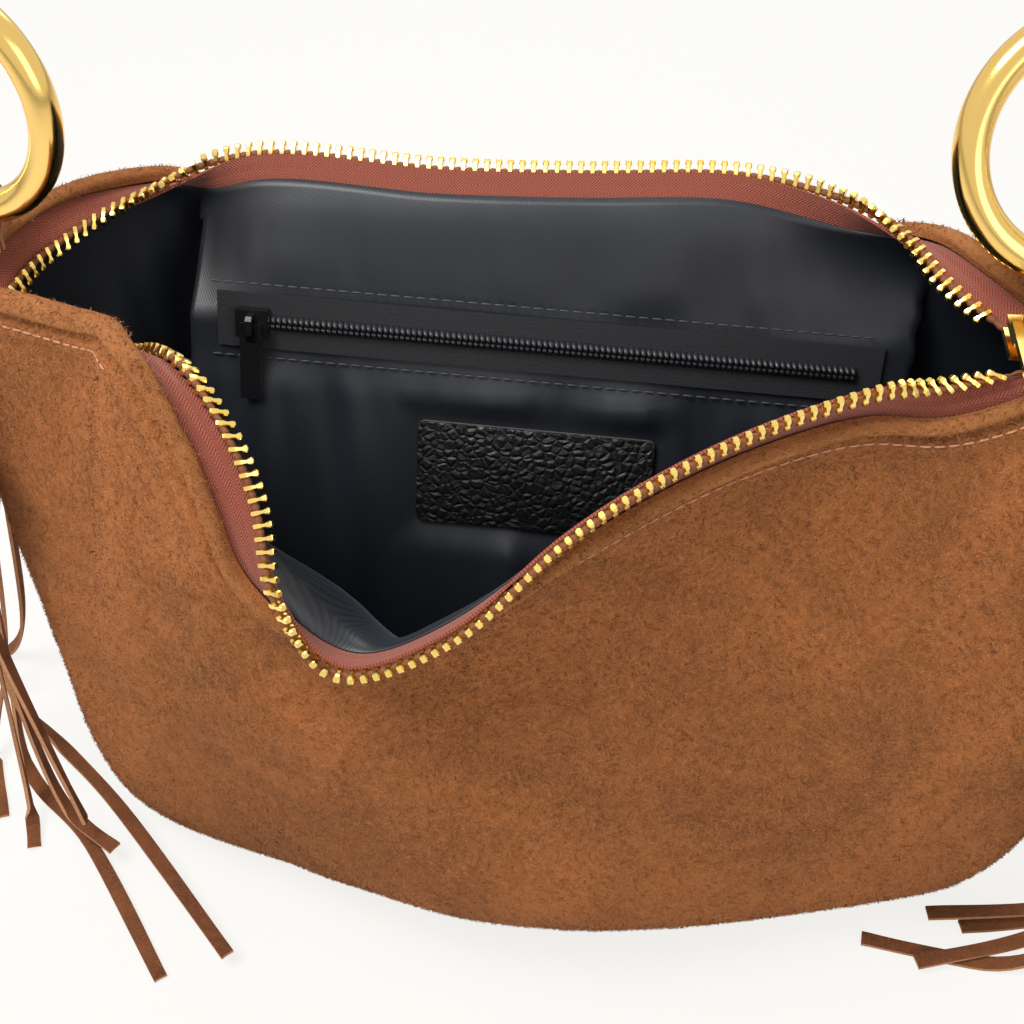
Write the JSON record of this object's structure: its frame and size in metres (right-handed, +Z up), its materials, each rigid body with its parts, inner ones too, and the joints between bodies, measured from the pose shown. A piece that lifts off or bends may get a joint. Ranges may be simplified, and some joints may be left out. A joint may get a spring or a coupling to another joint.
{
  "type": "fringed suede bag",
  "caption": "Suede shoulder bag standing on its base, with an open metal zip, ring fittings at both ends, suede fringe and an inner zip pocket.",
  "frame": {"origin": "middle of the flat suede base, on its underside", "axes": "+Z up, +X along the zip towards its slider, -Y the front, whose rim sags open"},
  "size_m": [0.4232, 0.1581, 0.2702],
  "materials": {
    "suede": "brushed suede with a short curly nap",
    "zip_tape": "herringbone woven tape",
    "satin_lining": "black twill satin",
    "gold_plate": "polished gold plate",
    "black_enamel": "black enamel",
    "black_coil": "closed nylon coil",
    "pocket_tape": "black woven tape",
    "patch_leather": "pebbled black leather"
  },
  "bodies": {
    "bag": {"suede_front": "suede", "suede_back": "suede", "suede_base": "suede", "zip_tape_front": "zip_tape", "zip_tape_back": "zip_tape", "zip_teeth_front": "gold_plate", "zip_teeth_back": "gold_plate", "lining": "satin_lining", "zip_slider": "gold_plate", "pocket_tape": "pocket_tape", "pocket_coil": "black_coil", "pocket_pouch": "pocket_tape", "leather_patch": "patch_leather", "ring_tab_left": "suede", "ring_tab_right": "suede", "fringe_header_left": "suede", "fringe_header_right": "suede", "fringe_left_01": "suede", "fringe_left_02": "suede", "fringe_left_03": "suede", "fringe_left_04": "suede", "fringe_left_05": "suede", "fringe_left_06": "suede", "fringe_left_07": "suede", "fringe_left_08": "suede", "fringe_left_09": "suede", "fringe_right_01": "suede", "fringe_right_02": "suede", "fringe_right_03": "suede", "fringe_right_04": "suede", "fringe_right_05": "suede", "fringe_right_06": "suede", "fringe_right_07": "suede", "fringe_right_08": "suede"},
    "ring_left": {"ring_left": "gold_plate"},
    "ring_right": {"ring_right": "gold_plate"},
    "zip_pull": {"zip_pull": "gold_plate"},
    "pocket_slider": {"pocket_slider": "black_enamel"},
    "pocket_pull": {"pocket_pull": "black_enamel"}
  },
  "joints": [
    {"name": "ring_left_swing", "type": "hinge", "parent": "bag", "child": "ring_left", "pos_m": [-0.137, 0.022, 0.209], "axis": [0.9703, -0.2419, 0], "range_deg": [-50, 60]},
    {"name": "ring_right_swing", "type": "hinge", "parent": "bag", "child": "ring_right", "pos_m": [0.1214, 0.0116, 0.2157], "axis": [0.9976, 0.0698, 0], "range_deg": [-35, 75]},
    {"name": "zip_pull_swing", "type": "hinge", "parent": "bag", "child": "zip_pull", "pos_m": [0.11143, 0.0026, 0.20683], "axis": [0.9976, 0.0698, 0], "range_deg": [-105, 0]},
    {"name": "pocket_slider_travel", "type": "slide", "parent": "bag", "child": "pocket_slider", "axis": [0.9997, -0.0081, -0.0249], "range_m": [0, 0.15]},
    {"name": "pocket_pull_swing", "type": "hinge", "parent": "pocket_slider", "child": "pocket_pull", "pos_m": [-0.07517, 0.03337, 0.16907], "axis": [0.9997, -0.0081, -0.0249], "range_deg": [-150, 0]}
  ]
}
